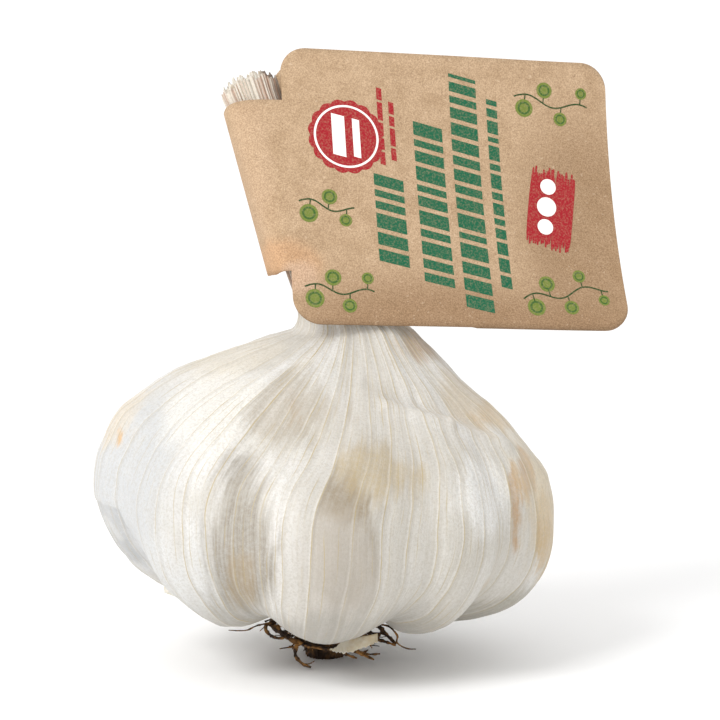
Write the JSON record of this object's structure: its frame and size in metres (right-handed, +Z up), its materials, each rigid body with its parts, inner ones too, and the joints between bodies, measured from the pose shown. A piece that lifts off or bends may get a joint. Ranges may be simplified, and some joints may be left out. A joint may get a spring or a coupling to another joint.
{
  "type": "giant garlic bulb with card tag",
  "caption": "Giant garlic bulb with a dried cut stem, trimmed roots and loose dry skin, and a kraft card tag with plain printed shapes folded round the stem.",
  "frame": {"origin": "middle of the flat end of the trimmed roots, on the floor under the bulb", "axes": "+Z up; +Y away from the side that shows the card's printed front; +X towards the card's free end"},
  "size_m": [0.1074, 0.0895, 0.1224],
  "materials": {
    "garlic_skin": "dry papery off-white skin with fine cream veins, satin",
    "kraft_card": null,
    "dry_root": "very dark brown dry roots, matt",
    "loose_skin": "loose papery dry skin, beige, satin"
  },
  "bodies": {
    "root": {"bulb": "garlic_skin", "label": "kraft_card", "roots": "dry_root", "skin_flap": "loose_skin", "skin_scrap": "loose_skin"}
  },
  "joints": []
}
